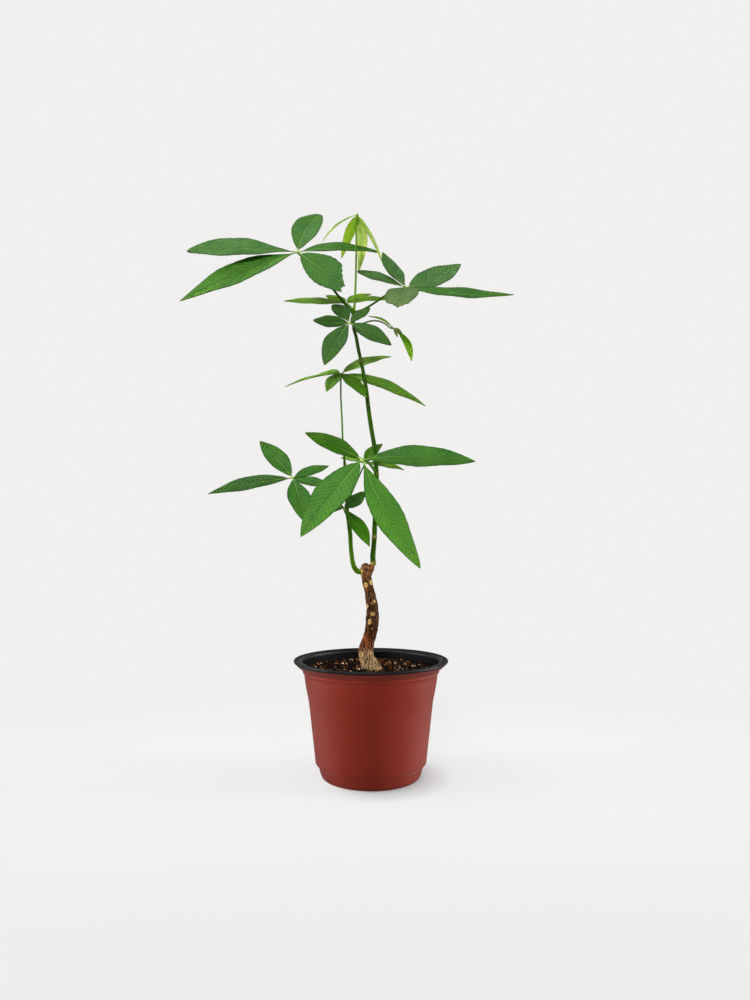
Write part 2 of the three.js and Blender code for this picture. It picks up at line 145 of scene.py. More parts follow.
# Leaf scars on the trunk: height, sideways place, front (-1) or back (1), half width, half height and how
# dark the heart is.
SCARS = [
    (159.4, -4.4, -1, 1.9, 2.4, 0.4), (161.1, -0.2, -1, 1.2, 2.4, 0.2), (141.8, -2.9, -1, 0.9, 2.2, 0.2),
    (145.5, 3.0, -1, 0.9, 1.4, 0.1), (144.3, 0.6, -1, 0.6, 0.8, 0.0), (135.3, 1.5, -1, 2.0, 1.7, 0.9),
    (128.5, -1.2, -1, 1.8, 2.4, 0.9), (101.8, -6.8, -1, 1.0, 2.6, 0.1), (102.2, -0.4, -1, 0.8, 1.8, 0.1),
    (152.0, -1.0, 1, 1.7, 2.1, 0.8), (133.0, 2.5, 1, 1.9, 1.9, 0.7), (119.0, -1.0, 1, 1.6, 1.9, 0.5),
    (163.5, -3.0, 1, 1.6, 1.9, 0.6), (109.0, -4.0, 1, 1.3, 1.8, 0.3),
]
SCAR_REACH = 4.0  # bark farther from a scar's middle is left alone

# Pale collars where the shoots leave the bark: place and direction.
COLLARS = [((-8.5, -3.0, 171.0), (-0.98, -0.2, -0.05)), ((1.6, 0, 177.4), (0.1, 0, 0.99))]
COLLAR_REACH = 4.5

# Greens of the blades and stalks

MATURE = 0x40742A
BRIGHT = 0x487E2A
DEEP = 0x386224
SHADED = 0x2C5616
DUSKY = 0x48723A
PALE_BACK = 0x5A7640
OLIVE = 0x5A8628
OLIVE_DEEP = 0x467412
# Painted shade: a darker, more saturated green for leaflets that hang in the shade of others.
LOW_SHADED = 0x386C06
SUNLIT = 0x8EC04E
YOUNG = 0x486E06
# Painted light: a young green brightened as if lit through from above.
YOUNG_BACKLIT = 0x729C04
# Partly painted light: the pale green of the young top leaflets, lightened almost to white as if lit through.
TIP_BACKLIT = 0xE4F0BC
TIP_OLIVE = 0x907C06
WITHERED = 0xB4B090
BRONZE = 0x483810
STALK_OLD = 0x2A540C
STALK_GREEN = 0x3C6E12
STALK_YOUNG = 0x568016

# Compound leaves. A leaf has its slot, its petiole's radius at the shoot and at the hub, its stalks' colour,
# the petiole's centre line and its leaflets.
#
# A leaflet has the way from the hub to its tip, its width, its roll about the midrib in degrees, the
# midrib's rise and its colour. Where it differs from most, it also has sway, the midrib's bow to the right as
# seen from the hub; widest, the place of its widest part as a share of its length; root and end, how drawn
# out those are; lean, how much wider its right half is; and torn, the share of its length that is left, from
# left to right.

Leaf = namedtuple("Leaf", "slot girth stalk petiole leaflets")
Leaflet = namedtuple(
    "Leaflet", "to wide roll arch tint sway widest root end lean torn", defaults=(0, 0.5, 1.1, 0.8, 0, None))

LEAVES = {
    "leaf_top_left": Leaf(
        "leaf_green", (1.15, 0.95), STALK_OLD,
        [(-15.4, 2, 394), (-24.6, 3, 404.5), (-33.5, 2, 415.5), (-48, -1, 431), (-63, -8, 444)],
        [
            Leaflet((-92, -12, -4), 29, 50, 3, MATURE, sway=-0.5, widest=0.58, root=1.4, end=0.6),
            Leaflet((-95, -20, -49), 30, 50, 5, BRIGHT, sway=-4, root=1.5, end=1),
            Leaflet((16, 44, 52), 24, -22, 3, MATURE, sway=-3, end=0.6),
            Leaflet((71, 30, 11), 18, -42, 4, MATURE, widest=0.45, root=1.8, end=0.6),
            Leaflet((50, -14, -40), 28, -70, -0.5, MATURE, torn=(0.6, 0.7, 0.82, 0.8, 0.85)),
        ]),
    "leaf_top": Leaf(
        "leaf_young", (0.95, 0.75), STALK_YOUNG,
        [(-15.2, 2, 395.5), (-14.4, 2, 401), (-13.7, 2, 413), (-12.9, 2, 449), (-12.8, 2, 478),
         (-12, 2.4, 481.5)],
        [
            Leaflet((-31, 12, -19), 7, 25, 3.5, TIP_BACKLIT, sway=1),
            Leaflet((-15, 26, -29), 10, 4, 1, TIP_OLIVE, widest=0.4),
            Leaflet((0, 30, -41), 12, -30, 6.5, TIP_BACKLIT, widest=0.35),
            Leaflet((23, 2, -45), 7, 8, 2, TIP_BACKLIT, sway=-1, widest=0.4),
        ]),
    "leaf_top_right": Leaf(
        "leaf_green", (1.0, 0.8), STALK_OLD,
        [(-15.2, 2, 394.5), (-8, 3, 397), (-2.2, 3, 400), (7, 0, 405), (14, -4, 408.5), (30, -12, 412)],
        [
            Leaflet((-20, 20, 38), 17, 15, -2, DUSKY, root=1.6),
            Leaflet((-42, 22, 22), 16, 34, 0.5, DUSKY, sway=-1, widest=0.6, end=0.6),
            Leaflet((49, 22, 28), 25, -47, -3, DUSKY),
            Leaflet((90, -8, -9), 26, -35, -2, MATURE, sway=4, end=1.1),
            Leaflet((-11, -38, -34), 28, 3, 4, PALE_BACK, sway=-2, end=0.6,
                    torn=(0.82, 0.84, 0.86, 0.8, 0.78)),
        ]),
    "leaf_middle": Leaf(
        "leaf_dark", (1.0, 0.8), STALK_OLD,
        [(-14.9, 2, 382.5), (-16.6, -7, 383), (-18, -16, 380)],
        [
            Leaflet((-15, 20, 22), 15, 24, 2, DEEP, root=1.8, end=0.6),
            Leaflet((-31, 2, 3), 15, 55, 0, SHADED, sway=-1),
            Leaflet((-20, -18, -40), 19, 34, 4, DEEP, widest=0.55),
            Leaflet((35, -8, -21), 17, -53, 1, DEEP),
            Leaflet((17, 13, 17), 12, -28, 0, DEEP),
        ]),
    "leaf_behind": Leaf(
        "leaf_young", (0.85, 0.7), STALK_YOUNG,
        [(-15.2, 2, 396), (-17.5, 8, 401), (-22, 16, 407)],
        [
            Leaflet((-56, 6, 4), 15, 38, 1, YOUNG, sway=-2, root=1.6),
            Leaflet((-19, 24, 15), 13, 20, 0, YOUNG_BACKLIT, end=0.6),
            Leaflet((22, 24, 16), 14, -18, 2, YOUNG_BACKLIT, sway=2, widest=0.4),
            Leaflet((43, -2, 2), 13, -35, 2, YOUNG, widest=0.4),
        ]),
    "leaf_wilting": Leaf(
        "leaf_young", (0.75, 0.6), STALK_YOUNG,
        [(-14.5, 2, 379.5), (-9.6, 4, 384), (-4.5, 6, 387), (1.5, 6, 388.4), (7, 6, 388),
         (12.5, 6, 385.5), (17, 6, 382), (19, 6, 382)],
        [
            Leaflet((-21, -4, 9), 2.5, 60, 3.5, BRONZE),
            Leaflet((8, -2, -6), 4, -47, 1, WITHERED),
            Leaflet((16, -4, -30), 7, -55, 3, YOUNG_BACKLIT, sway=-3, widest=0.6),
            Leaflet((4, -3, -9), 2.5, -40, 1, WITHERED, widest=0.6),
        ]),
    "leaf_side_top": Leaf(
        "leaf_green", (0.9, 0.65), STALK_GREEN,
        [(-22.5, 0, 261), (-23.2, 0.4, 270), (-24.3, 0.8, 283), (-25, 1.2, 300), (-26.1, 1.8, 322),
         (-26, 2, 341)],
        [
            Leaflet((44, 30, 22), 14, -28, 3, SUNLIT, widest=0.45),
            Leaflet((-49, 4, -11), 13, 18, 2.5, SUNLIT),
            Leaflet((-11, -22, -20), 12, 12, 2, OLIVE),
            Leaflet((75, 30, -23), 19, -44, 4, OLIVE, end=1),
            Leaflet((22, -22, -25), 15, -15, 2, OLIVE_DEEP, sway=1),
            Leaflet((-21, 22, 4), 12, 30, 1, SUNLIT),
        ]),
    "leaf_front": Leaf(
        "leaf_green", (1.2, 1.0), STALK_GREEN,
        [(4.6, 0, 252), (2.5, -10, 256.5), (-2.5, -22, 261.5), (-7, -30, 263)],
        [
            Leaflet((-48, 14, 24), 18, 43, 1, LOW_SHADED),
            Leaflet((93, 6, -1), 28, -44, 4, MATURE, lean=0.1),
            Leaflet((-46, -40, -63), 28, 34, 5, BRIGHT, sway=-1),
            Leaflet((45, -36, -87), 27, -25, 1, BRIGHT, sway=5, root=1.6),
        ]),
    "leaf_inner": Leaf(
        "leaf_green", (0.8, 0.65), STALK_GREEN,
        [(-20.4, -1.8, 227), (-16.5, 3, 238), (-11.5, 7, 250), (-7, 10, 260), (-5, 12, 264)],
        [
            Leaflet((34, 8, -5), 15, -29, 2, OLIVE, sway=1, root=1.5, end=1),
            Leaflet((15, 16, 19), 12, -19, 3, OLIVE_DEEP, widest=0.4),
            Leaflet((-22, 12, 6), 11, 29, 2, SUNLIT),
        ]),
    "leaf_left": Leaf(
        "leaf_green", (1.0, 0.8), STALK_GREEN,
        [(-20.1, -2, 221), (-32, 4, 233), (-50, 9.5, 246), (-68, 8, 251)],
        [
            Leaflet((-31, 16, 34), 19, 36, 0, MATURE, sway=1),
            Leaflet((-72, -4, -14), 19, 40, 3, DEEP, sway=-1.5, end=1),
            Leaflet((30, 18, 12), 13, -34, 0.5, MATURE),
            Leaflet((32, -6, -6), 13, -38, -1, MATURE, root=0.8),
            Leaflet((12, -22, -38), 20, -7, 2, MATURE, root=1.3),
        ]),
    "leaf_low": Leaf(
        "leaf_green", (0.85, 0.7), STALK_GREEN,
        [(-19.6, -2.4, 216.5), (-21.6, -6.5, 220.5), (-23, -10, 224)],
        [
            Leaflet((18, 6, 14), 14, -40, -2, BRIGHT, end=0.6),
            Leaflet((22, -14, -32), 15, -22, 2, LOW_SHADED, widest=0.55, end=1),
            Leaflet((-20, -8, -5), 12, 32, 2, LOW_SHADED),
        ]),
}
LONG_LEAFLET = 55  # longer ones are shaped from the finer blank
HUB_SIZE = 1.5  # times the petiole's radius there
HUB_GREEN = 0xA9C46A
STALKLET_GREEN = 0xB4CE7C

# Blades: thickness, least half width at the root and the tip, and the shape of their surface, of which the
# fold, waves and notches are shares of the half width.
BLADE_THICK = 0.6
BLADE_ROOT = 0.45
BLADE_TIP = 0.3
VEIN_PITCH = 4.6  # between side veins along the midrib
VEIN_SLANT = 0.9
PUCKER = 0.22
GROOVE_DEPTH = 0.25
GROOVE_WIDE = 0.8
FOLD = 0.16
WAVE = 0.035
NOTCH = 0.014
MARGIN = 0.7


# Hand tools


def clear_selection():
    if bpy.context.mode != "OBJECT":
        bpy.ops.object.mode_set(mode="OBJECT")
    bpy.ops.object.select_all(action="DESELECT")
    bpy.context.view_layer.objects.active = None


def pick(*pieces):
    """Selects pieces, with the first as the active one."""
    clear_selection()
    for piece in pieces:
        piece.select_set(True)
    bpy.context.view_layer.objects.active = pieces[0]


def named(name):
    piece = bpy.context.object
    piece.name = name
    piece.data.name = name
    return piece


def settle(piece):
    """Puts a piece's place into its mesh and leaves its object at the origin."""
    pick(piece)
    bpy.ops.object.transform_apply(location=True, rotation=True, scale=True)


def modify(piece, kind, **settings):
    """Adds one modifier, sets it and applies it."""
    pick(piece)
    modifier = piece.modifiers.new(kind.title(), kind)
    for key, value in settings.items():
        setattr(modifier, key, value)
    bpy.ops.object.modifier_apply(modifier=modifier.name)


def join(name, pieces):
    pick(*pieces)
    if len(pieces) > 1:
        bpy.ops.object.join()
    return named(name)


def smooth(piece, angle):
    pick(piece)
    bpy.ops.object.shade_smooth_by_angle(angle=math.radians(angle))


def dress(piece, *finishes):
    piece.data.materials.clear()
    for finish in finishes:
        piece.data.materials.append(finish)


def copy_of(piece, name):
    """A copy with its own mesh."""
    twin = piece.copy()
    twin.data = piece.data.copy()
    twin.name = name
    bpy.context.collection.objects.link(twin)
    return twin


def cut_between(piece, crosses, cuts):
    """Cuts the edges that crosses(a, b) picks into cuts + 1 parts, and so every face between them."""
    bpy.ops.mesh.select_all(action="DESELECT")
    shape = bmesh.from_edit_mesh(piece.data)
    for edge in shape.edges:
        if crosses(edge.verts[0].co, edge.verts[1].co):
            edge.select_set(True)
    bmesh.update_edit_mesh(piece.data)
    bpy.ops.mesh.subdivide(number_cuts=cuts)


def write_values(piece, name, values, kind="FLOAT"):
    """Keeps one value per point of the mesh under a name that a finish can read."""
    layer = piece.data.attributes.get(name) or piece.data.attributes.new(name, kind, "POINT")
    if kind == "FLOAT":
        layer.data.foreach_set("value", values)
    else:
        layer.data.foreach_set("color", [part for colour in values for part in colour])


def fade(value, start, end):
    """0 at start and 1 at end, with soft ends."""
    share = min(max((value - start) / (end - start), 0.0), 1.0)
    return share * share * (3 - 2 * share)


# Centre lines

LINE_STEPS = 24  # between two points of a list
MOST_CUTS = 100  # that one call of subdivide can make


def smooth_line(rows, count):
    """Points evenly spaced on a smooth line through rows of [x, y, z, radius], with their radius, the way
    ahead and two directions across it."""
    points = [Vector(row[:3]) for row in rows]
    radii = [row[3] for row in rows]
    before = points[0] * 2 - points[1]
    after = points[-1] * 2 - points[-2]
    chain = [before, *points, after]
    fine = []
    for i in range(len(points) - 1):
        a, b, c, d = chain[i:i + 4]
        step_a, step_b, step_c = (max((q - p).length ** 0.5, 1e-4) for p, q in ((a, b), (b, c), (c, d)))
        leave = ((b - a) / step_a - (c - a) / (step_a + step_b) + (c - b) / step_b) * step_b
        reach = ((c - b) / step_b - (d - b) / (step_b + step_c) + (d - c) / step_c) * step_b
        for k in range(LINE_STEPS):
            t = k / LINE_STEPS
            at = b + leave * t + (c * 3 - b * 3 - leave * 2 - reach) * t * t
            at += (b * 2 - c * 2 + leave + reach) * t * t * t
            soft = fade(t, 0, 1) * 0.5 + t * 0.5
            fine.append((at, radii[i] + (radii[i + 1] - radii[i]) * soft))
    fine.append((points[-1], radii[-1]))
    run = [0.0]
    for (a, _), (b, _) in zip(fine, fine[1:]):
        run.append(run[-1] + (b - a).length)
    line = []
    low = 0
    for k in range(count + 1):
        want = run[-1] * k / count
        while low < len(fine) - 2 and run[low + 1] < want:
            low += 1
        share = (want - run[low]) / max(run[low + 1] - run[low], 1e-6)
        line.append((fine[low][0].lerp(fine[low + 1][0], share),
                     fine[low][1] + (fine[low + 1][1] - fine[low][1]) * share))
    across = Vector((1, 0, 0))
    result = []
    for k, (at, radius) in enumerate(line):
        ahead = (line[min(k + 1, count)][0] - line[max(k - 1, 0)][0]).normalized()
        across = (across - ahead * across.dot(ahead)).normalized()
        result.append((at, radius, ahead, across, ahead.cross(across)))
    return result


def tube(name, rows, sides, rings, swell=None):
    """A closed limb along a centre line: a cylinder cut into rings, then laid along the line."""
    clear_selection()
    bpy.ops.mesh.primitive_cylinder_add(vertices=sides, radius=1, depth=1, end_fill_type="TRIFAN")
    piece = named(name)
    bpy.ops.object.mode_set(mode="EDIT")
    bpy.ops.mesh.select_mode(type="EDGE")
    if rings > MOST_CUTS:
        cut_between(piece, lambda a, b: abs(a.z - b.z) > 0.9, 1)
        half = math.ceil(rings / 2)
        cut_between(piece, lambda a, b: abs(a.z - b.z) > 0.4, half - 1)
        rings = half * 2
    else:
        cut_between(piece, lambda a, b: abs(a.z - b.z) > 0.9, rings - 1)
    bpy.ops.object.mode_set(mode="OBJECT")
    line = smooth_line(rows, rings)
    for vertex in piece.data.vertices:
        ring = round((vertex.co.z + 0.5) * rings)
        at, radius, ahead, across, deep = line[ring]
        if swell:
            radius = swell(at, radius, ring / rings, math.atan2(vertex.co.y, vertex.co.x))
        vertex.co = (at + (across * vertex.co.x + deep * vertex.co.y) * radius) * MM
    return piece


# Finishes


def linear(hex_colour):
    """A screen colour as the shader's own numbers."""
    parts = [(hex_colour >> shift & 255) / 255 for shift in (16, 8, 0)]
    return tuple(p / 12.92 if p <= 0.04045 else ((p + 0.055) / 1.055) ** 2.4 for p in parts) + (1.0,)


class Nodes:
    """A node tree, and short ways to lay nodes in it."""

    def __init__(self, tree):
        self.nodes = tree.nodes
        self.links = tree.links

    def node(self, kind, **settings):
        made = self.nodes.new(kind)
        for key, value in settings.items():
            setattr(made, key, value)
        return made

    def feed(self, socket, value):
        if isinstance(value, bpy.types.NodeSocket):
            self.links.new(value, socket)
        else:
            socket.default_value = value

    def place(self):
        return self.node("ShaderNodeTexCoord").outputs["Object"]

    def distance_along(self, axis):
        split = self.node("ShaderNodeSeparateXYZ")
        self.feed(split.inputs[0], self.place())
        return split.outputs[axis]

    def stretched(self, scale):
        mapping = self.node("ShaderNodeMapping")
        self.feed(mapping.inputs["Vector"], self.place())
        mapping.inputs["Scale"].default_value = scale
        return mapping.outputs["Vector"]

    def value(self, name):
        return self.node("ShaderNodeAttribute", attribute_name=name).outputs["Fac"]

    def colour(self, name):
        return self.node("ShaderNodeAttribute", attribute_name=name).outputs["Color"]

    def grain(self, scale, detail, rough=0.55, place=None):
        made = self.node("ShaderNodeTexNoise")
        self.feed(made.inputs["Vector"], place or self.place())
        made.inputs["Scale"].default_value = scale
        made.inputs["Detail"].default_value = detail
        made.inputs["Roughness"].default_value = rough
        return made.outputs["Fac"]

    def math(self, kind, a, b=0.0, c=0.0):
        made = self.node("ShaderNodeMath", operation=kind)
        for socket, value in zip(made.inputs, (a, b, c)):
            self.feed(socket, value)
        return made.outputs[0]

    def times(self, a, b):
        return self.math("MULTIPLY", a, b)

    def span(self, value, low, high, to_low=0.0, to_high=1.0):
        made = self.node("ShaderNodeMapRange", interpolation_type="SMOOTHSTEP")
        names = ("Value", "From Min", "From Max", "To Min", "To Max")
        for name, part in zip(names, (value, low, high, to_low, to_high)):
            self.feed(made.inputs[name], part)
        return made.outputs["Result"]

    def blend(self, share, a, b, kind="MIX"):
        made = self.node("ShaderNodeMix", data_type="RGBA", blend_type=kind)
        self.feed(made.inputs[0], share)
        self.feed(made.inputs[6], a)
        self.feed(made.inputs[7], b)
        return made.outputs[2]

    def filtered(self, colour, share, filter_colour):
        """A colour seen through a clear film of another."""
        return self.blend(share, colour, (*filter_colour, 1), "MULTIPLY")

    def shades(self, value, stops):
        made = self.node("ShaderNodeValToRGB")
        self.feed(made.inputs["Fac"], value)
        ramp = made.color_ramp
        while len(ramp.elements) < len(stops):
            ramp.elements.new(0.5)
        for element, (at, colour) in zip(ramp.elements, stops):
            element.position = at
            element.color = linear(colour)
        return made.outputs["Color"]

    def bump(self, height, strength, distance, under=None):
        made = self.node("ShaderNodeBump")
        made.inputs["Strength"].default_value = strength
        made.inputs["Distance"].default_value = distance
        self.feed(made.inputs["Height"], height)
        if under:
            self.feed(made.inputs["Normal"], under)
        return made.outputs["Normal"]


class Finish(Nodes):
    """A material with its shader."""

    def __init__(self, name, roughness, specular):
        self.material = bpy.data.materials.new(name)
        self.material.use_nodes = True
        super().__init__(self.material.node_tree)
        self.shader = self.nodes["Principled BSDF"]
        self.shader.inputs["Roughness"].default_value = roughness
        self.shader.inputs["Specular IOR Level"].default_value = specular

    def done(self, colour, roughness=None, normal=None, specular=None):
        """Feeds the shader and gives the material."""
        self.feed(self.shader.inputs["Base Color"], colour)
        for name, value in (("Roughness", roughness), ("Normal", normal), ("Specular IOR Level", specular)):
            if value:
                self.feed(self.shader.inputs[name], value)
        return self.material


def red_plastic():
    """Matte terracotta plastic: faint clouding, fine pressed grain and dust."""
    f = Finish("red_pot_plastic", 0.5, 0.3)
    cloud = f.grain(22, 4, 0.6)
    dust = f.grain(140, 5, 0.7)
    colour = f.shades(cloud, [(0.3, 0x752213), (0.7, 0x7D2617)])
    colour = f.blend(f.span(dust, 0.6, 0.78, 0, 0.12), colour, linear(0x9C4A3A))
    edge_on = f.node("ShaderNodeLayerWeight")
    edge_on.inputs["Blend"].default_value = 0.5
    specular = f.span(edge_on.outputs["Facing"], 0.0, 0.85, 0.13, 0.62)
    roughness = f.span(cloud, 0.3, 0.7, 0.44, 0.56)
    normal = f.bump(f.grain(900, 2), 0.12, 0.0003, f.bump(f.grain(60, 2), 0.1, 0.0012))
    return f.done(colour, roughness, normal, specular)


def black_plastic():
    """Charcoal plastic of the pot's inside and rim, with dusty patches and a smoother lip."""
    f = Finish("black_pot_plastic", 0.42, 0.3)
    dust = f.grain(90, 5, 0.65)
    colour = f.shades(dust, [(0.35, 0x0B090A), (0.75, 0x171516)])
    lip = f.span(f.distance_along("Z"), 0.0935, 0.0955)
    roughness = f.math("SUBTRACT", f.span(dust, 0.3, 0.7, 0.58, 0.72), f.times(lip, 0.17))
    specular = f.math("MULTIPLY_ADD", lip, 0.27, 0.03)
    normal = f.bump(f.grain(700, 2), 0.15, 0.0003)
    return f.done(colour, roughness, normal, specular)


def compost():
    """Damp dark compost under the chips."""
    f = Finish("compost", 0.9, 0.1)
    crumbs = f.grain(420, 6, 0.7)
    colour = f.shades(crumbs, [(0.35, 0x0F0A07), (0.55, 0x22150D), (0.8, 0x4A2C18)])
    normal = f.bump(crumbs, 0.9, 0.002)
    return f.done(colour, None, normal)


def coir():
    """Coir chips from near black to orange brown, by chip, with fibres along them."""
    f = Finish("coir_chips", 0.75, 0.1)
    fibre = f.grain(900, 4, 0.65)
    tone = f.math("ADD", f.value("chip_tone"), f.math("MULTIPLY_ADD", fibre, 0.24, -0.12))
    colour = f.shades(tone, [(0.1, 0x0E0805), (0.45, 0x24140B), (0.64, 0x492812), (0.8, 0x85491F),
                             (0.9, 0xB08250), (0.98, 0xE2CBA6)])
    normal = f.bump(fibre, 0.6, 0.0008)
    return f.done(colour, None, normal)


def bark():
    """Bark: grey tan at the foot, reddish above it, dark brown to the top with rusty patches, broken by dark
    cracks and lengthwise streaks, with pale leaf scars in dark rims."""
    f = Finish("bark", 0.85, 0.1)
    height = f.distance_along("Z")
    patch = f.grain(110, 5, 0.62)
    rust = f.grain(85, 4, 0.6, f.stretched((1, 1, 0.6)))
    streak = f.grain(1, 5, 0.7, f.stretched((520, 520, 170)))
    crack = f.grain(1, 5, 0.7, f.stretched((900, 900, 520)))
    gold = f.grain(1, 4, 0.65, f.stretched((760, 760, 330)))
    level = f.times(f.math("MULTIPLY_ADD", patch, 0.014, height), 5.0)
    zone = f.shades(level, [(0.46, 0x907858), (0.54, 0x9A7E5C), (0.575, 0x743C1C), (0.61, 0x643014),
                            (0.635, 0x37200C), (0.84, 0x4E321A), (0.93, 0x7A5232)])
    aloft = f.span(height, 0.112, 0.124)
    colour = f.blend(f.times(aloft, f.span(rust, 0.54, 0.66, 0, 0.6)), zone, linear(0x84461C))
    # Painted shade: the bark is darkened down its right side in a band on the lower trunk.
    right = f.span(f.distance_along("X"), -0.004, 0.001)
    painted_side_shade = f.times(right, f.span(level, 0.54, 0.58))
    painted_side_shade = f.times(painted_side_shade, f.span(level, 0.68, 0.62))
    colour = f.filtered(colour, painted_side_shade, (0.5, 0.5, 0.55))
    colour = f.filtered(colour, f.span(streak, 0.5, 0.62), (2.0, 1.85, 1.6))
    colour = f.filtered(colour, f.span(streak, 0.5, 0.4), (0.24, 0.2, 0.18))
    colour = f.blend(f.span(gold, 0.56, 0.64, 0, 0.45), colour, linear(0xB48C58))
    colour = f.blend(f.span(crack, 0.46, 0.39, 0, 0.95), colour, linear(0x120904))
    colour = f.blend(f.value("scar_rim"), colour, linear(0x1C0F08))
    colour = f.blend(f.times(f.value("scar"), 0.95), colour, linear(0xD0A662))
    colour = f.blend(f.value("scar_heart"), colour, linear(0x6A4522))
    rough = f.math("MULTIPLY_ADD", streak, 0.2, 0.7)
    normal = f.bump(streak, 0.9, 0.0012, f.bump(crack, 0.6, 0.0007))
    return f.done(colour, rough, normal)


def green_skin(name, dark, light):
    """Green shoot: fine lengthwise fibres, small flecks, and a corky ring at each old leaf joint."""
    f = Finish(name, 0.5, 0.04)
    streak = f.grain(1, 4, 0.6, f.stretched((900, 900, 60)))
    fleck = f.grain(260, 4, 0.6)
    colour = f.blend(f.span(streak, 0.35, 0.65), linear(dark), linear(light))
    colour = f.blend(f.span(fleck, 0.6, 0.74, 0, 0.5), colour, linear(0x6C8A24))
    colour = f.blend(f.span(fleck, 0.4, 0.28, 0, 0.6), colour, linear(0x1A3A06))
    colour = f.blend(f.value("joint"), colour, linear(0x8E7A44))
    rough = f.math("MULTIPLY_ADD", fleck, 0.2, 0.36)
    normal = f.bump(streak, 0.35, 0.0004)
    return f.done(colour, rough, normal)


def stalk_skin():
    """Petioles and leaflet stalks in the leaf's own stalk colour."""
    f = Finish("leaf_stalk", 0.5, 0.05)
    streak = f.grain(1, 3, 0.6, f.stretched((900, 900, 120)))
    colour = f.filtered(f.colour("tint"), f.span(streak, 0.35, 0.7), (1.3, 1.2, 1.0))
    colour = f.filtered(colour, f.span(streak, 0.5, 0.3), (0.6, 0.66, 0.6))
    normal = f.bump(streak, 0.3, 0.0003)
    return f.done(colour, f.span(streak, 0.3, 0.7, 0.38, 0.52), normal)


def blade_skin(name, rib_colour, rib_share, gloss, wash=None, thin=0.0):
    """A leaf's face: its own green with warmer and cooler patches, a yellower tip, a pale midrib that thins
    out towards the tip with painted shade along its fold and a painted shade line beside it, pale side veins
    that run forward with painted shade in the hollows between them, and a darker margin. A wash is the paler
    green of backs and young blades, and thin says how much light goes through."""
    f = Finish(name, gloss, 0.12)
    f.shader.inputs["Subsurface Weight"].default_value = thin
    f.shader.inputs["Subsurface Scale"].default_value = 0.003
    f.shader.inputs["Subsurface Radius"].default_value = (0.9, 1.0, 0.3)
    patch = f.grain(55, 4, 0.6)
    cell = f.grain(700, 4, 0.65)
    faint = f.span(f.grain(160, 3, 0.6), 0.35, 0.65, 0.3, 1)
    phase = f.math("FRACT", f.value("vein_phase"))
    from_vein = f.math("ABSOLUTE", f.math("SUBTRACT", phase, 0.5))
    vein = f.times(f.span(from_vein, 0.4, 0.5), faint)
    between = f.times(f.span(from_vein, 0.44, 0.25), faint)
    ahead = f.value("toward_tip")
    beside = f.value("beside_rib")
    off_rib = f.math("ABSOLUTE", beside)
    rib = f.times(f.span(off_rib, 0.6, 0.2), f.span(ahead, 0.05, 0.6, 1, 0.3))
    rib_shade = f.times(f.span(beside, 0.3, 0.6), f.span(beside, 1.3, 0.8))
    colour = f.colour("tint")
    for share, film in (
        (f.span(patch, 0.45, 0.7), (1.25, 1.1, 0.9)),
        (f.span(patch, 0.5, 0.3), (0.78, 0.84, 0.95)),
        (f.span(cell, 0.4, 0.6), (0.76, 0.8, 0.76)),
        (f.span(ahead, 0.5, 1.0, 0, 0.6), (1.25, 1.12, 0.8)),
        # Painted shade in the hollows between the side veins.
        (between, (0.78, 0.83, 0.8)),
        (vein, (1.4, 1.24, 1.4)),
        # Painted shade along the midrib's fold, then a painted shade line beside the midrib.
        (f.span(off_rib, 3.2, 0.8, 0, 0.5), (0.8, 0.84, 0.8)),
        (rib_shade, (0.5, 0.58, 0.5)),
        (f.value("margin"), (0.55, 0.62, 0.45)),
    ):
        colour = f.filtered(colour, share, film)
    colour = f.blend(f.times(rib, rib_share), colour, linear(rib_colour))
    if wash:
        colour = f.blend(0.5 if thin else 0.3, colour, linear(wash))
    rough = f.span(cell, 0.3, 0.7, gloss - 0.06, gloss + 0.08)
    height = f.math("MULTIPLY_ADD", cell, 0.08, f.times(from_vein, -1.2))
    normal = f.bump(f.math("SUBTRACT", height, rib), 0.45, 0.0005)
    return f.done(colour, rough, normal)


# Pot


def turned(name, sides, disc, rings):
    """A turned wall: a disc, then its edge drawn out ring by ring and closed with a disc."""
    clear_selection()
    bpy.ops.mesh.primitive_circle_add(vertices=sides, radius=disc * MM, fill_type="NGON")
    piece = named(name)
    bpy.ops.object.mode_set(mode="EDIT")
    bpy.ops.mesh.select_mode(type="EDGE")
    bpy.ops.mesh.select_all(action="SELECT")
    radius, height = disc, 0.0
    for out, up in rings:
        bpy.ops.mesh.extrude_edges_move(TRANSFORM_OT_translate={"value": (0, 0, (up - height) * MM)})
        bpy.ops.transform.resize(value=(out / radius, out / radius, 1), center_override=(0, 0, up * MM))
        radius, height = out, up
    bpy.ops.mesh.edge_face_add()
    bpy.ops.mesh.select_all(action="SELECT")
    bpy.ops.mesh.normals_make_consistent(inside=False)
    bpy.ops.object.mode_set(mode="OBJECT")
    return piece


def make_pot(red, black):
    rings = POT_UNDERSIDE + POT_OUTSIDE + POT_RIM + POT_INSIDE
    pot = turned("pot_shell", POT_SIDES, POT_FOOT_DISC, rings)
    dress(pot, red, black)
    for face in pot.data.polygons:
        x, y, z = face.center / MM
        inner = z > POT_FOOT and face.normal.x * x + face.normal.y * y < -1e-6
        floor = face.normal.z > 0.5 and z < POT_FLOOR_TOP and math.hypot(x, y) < POT_FLOOR_EDGE
        face.material_index = 1 if z > POT_SEAM or inner or floor else 0
    modify(pot, "BEVEL", width=0.3 * MM, segments=2, limit_method="ANGLE", angle_limit=math.radians(24))
    holes = []
    for i in range(DRAIN_HOLES):
        turn = 2 * math.pi * i / DRAIN_HOLES
        clear_selection()
        bpy.ops.mesh.primitive_cylinder_add(
            vertices=32, radius=DRAIN_RADIUS * MM, depth=9 * MM,
            location=(DRAIN_OUT * MM * math.cos(turn), DRAIN_OUT * MM * math.sin(turn), 3 * MM))
        holes.append(named("drain_punch"))
    punch = join("drain_punch", holes)
    settle(punch)
    modify(pot, "BOOLEAN", operation="DIFFERENCE", solver="EXACT", object=punch)
    bpy.data.objects.remove(punch)
    smooth(pot, 34)
    return pot


# Potting mix


